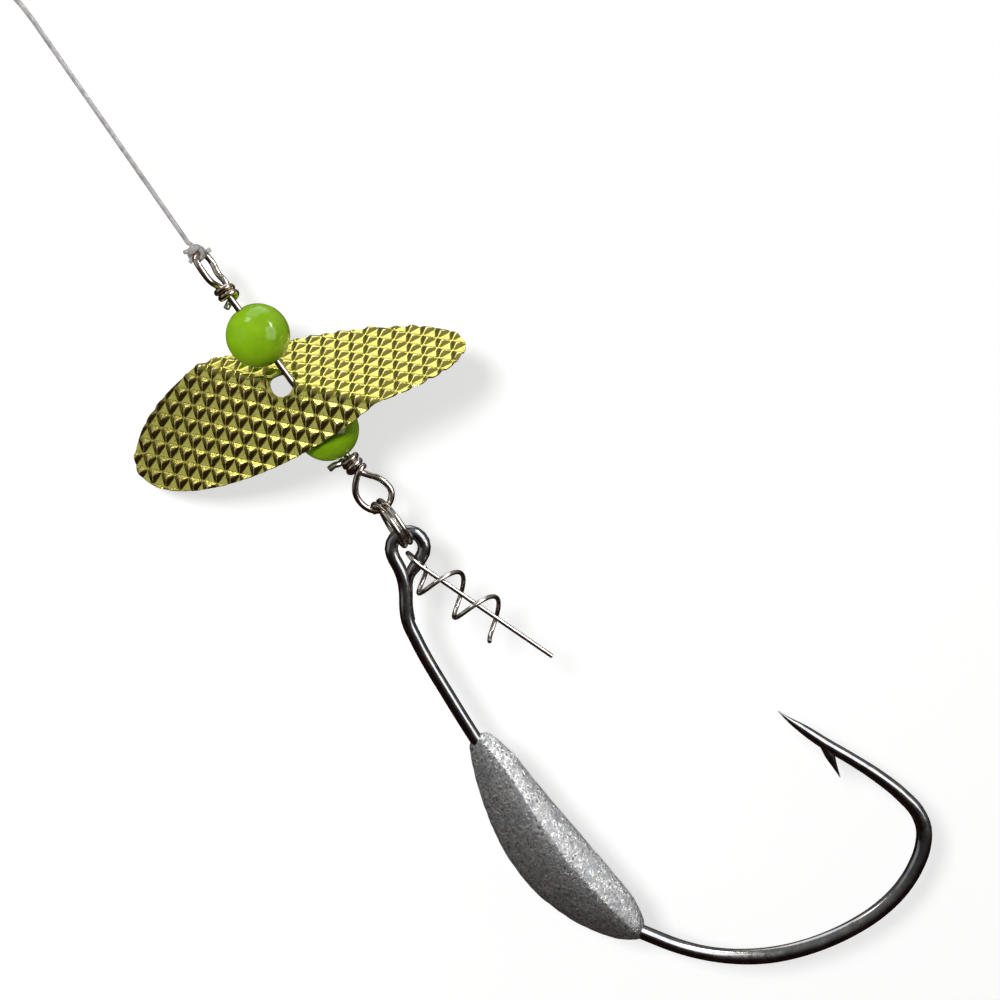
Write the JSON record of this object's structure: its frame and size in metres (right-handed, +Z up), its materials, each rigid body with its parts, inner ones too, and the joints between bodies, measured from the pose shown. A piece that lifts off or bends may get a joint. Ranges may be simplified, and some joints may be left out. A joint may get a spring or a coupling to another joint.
{
  "type": "in-line blade fishing lure",
  "caption": "In-line fishing lure: a propeller blade and round beads on a wire shaft, with a split ring and a keel-weighted wide-gap hook with a screw-in bait keeper.",
  "frame": {"origin": "the inner edge of the tied loop's top, where a pin holds the leader line up", "axes": "+Z up along the taut line and the shaft; the hook's plane is XZ, with its point towards +X; -Y is the side that the blade's ridge faces"},
  "size_m": [0.0436, 0.0139, 0.1344],
  "materials": {
    "clear_nylon": "clear glossy monofilament",
    "tinted_steel": "drawn stainless spring wire, polished, slightly browned",
    "bright_steel": "drawn stainless wire, polished",
    "lime_plastic": "opaque glossy lime plastic",
    "gold_film": "metallised yellow-gold embossed sheet",
    "black_nickel": "black nickel plating on forged steel, glossy",
    "cast_lead": "bare cast lead, bright and finely pitted"
  },
  "bodies": {
    "leader": {"leader_line": "clear_nylon", "line_end_knot": "clear_nylon", "line_end_loop": "clear_nylon", "leader_knot": "clear_nylon"},
    "shaft": {"shaft_wire": "tinted_steel"},
    "top_bead": {"upper_bead": "lime_plastic"},
    "spinner_bead": {"lower_bead": "lime_plastic"},
    "propeller": {"blade": "gold_film"},
    "ring": {"split_ring": "bright_steel"},
    "hook_body": {"hook": "black_nickel", "keel_weight": "cast_lead"},
    "keeper": {"bait_keeper": "bright_steel"}
  },
  "joints": [
    {"name": "line_swing", "type": "hinge", "parent": "leader", "child": "shaft", "pos_m": [0, 0, -0.03837], "axis": [0.4067, 0.9136, 0], "range_deg": [-40, 40]},
    {"name": "bead_slide", "type": "slide", "parent": "shaft", "child": "top_bead", "axis": [0, 0, 1], "range_m": [-0.0006, 0.00025]},
    {"name": "blade_spin", "type": "hinge", "parent": "shaft", "child": "spinner_bead", "pos_m": [0, 0, -0.05887], "axis": [0, 0, 1], "continuous": true},
    {"name": "blade_tilt", "type": "hinge", "parent": "spinner_bead", "child": "propeller", "pos_m": [-0.00085, -0.0002, -0.05282], "axis": [1, 0, 0], "range_deg": [-4, 3]},
    {"name": "ring_swing", "type": "hinge", "parent": "shaft", "child": "ring", "pos_m": [-0.0003, 0, -0.06834], "axis": [1, 0, 0], "range_deg": [-50, 50]},
    {"name": "hook_swing", "type": "hinge", "parent": "ring", "child": "hook_body", "pos_m": [-0.00055, 0, -0.07282], "axis": [0, 1, 0], "range_deg": [-45, 45]},
    {"name": "keeper_swing", "type": "hinge", "parent": "hook_body", "child": "keeper", "pos_m": [-0.00062, 0, -0.07322], "axis": [0, -1, 0], "range_deg": [-3, 70]}
  ]
}
